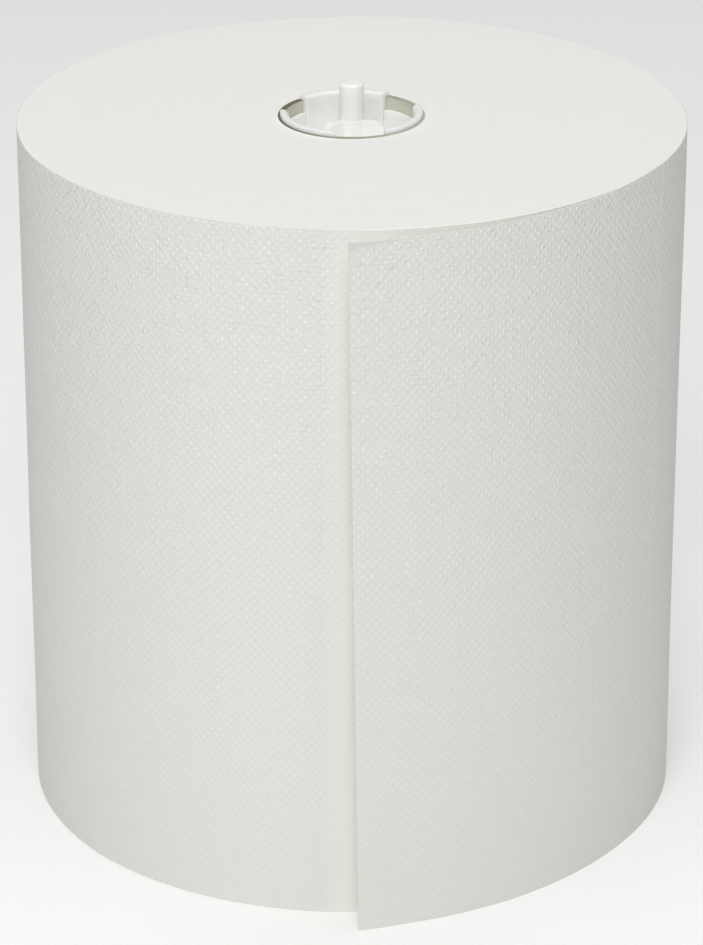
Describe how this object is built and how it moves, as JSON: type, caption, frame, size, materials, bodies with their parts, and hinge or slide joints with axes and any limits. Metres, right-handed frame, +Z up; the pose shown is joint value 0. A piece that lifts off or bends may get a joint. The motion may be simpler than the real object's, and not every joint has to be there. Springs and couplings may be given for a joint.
{
  "type": "paper towel roll",
  "caption": "White embossed hard-wound paper towel roll standing on end, its last turn loose, with a cardboard core and a white plastic end plug that has a central pin.",
  "frame": {"origin": "centre of the core's lower mouth, on the plane that the roll stands on", "axes": "+Z up along the roll's axis, towards the end with the plug; -Y is the front, where the sheet's free edge is"},
  "size_m": [0.1948, 0.2044, 0.22],
  "materials": {
    "paper": "matt embossed tissue",
    "cardboard": "matt",
    "plug_plastic": "satin white moulding"
  },
  "bodies": {
    "root": {"paper_roll": "paper", "cardboard_core": "cardboard", "end_plug": "plug_plastic"}
  },
  "joints": []
}
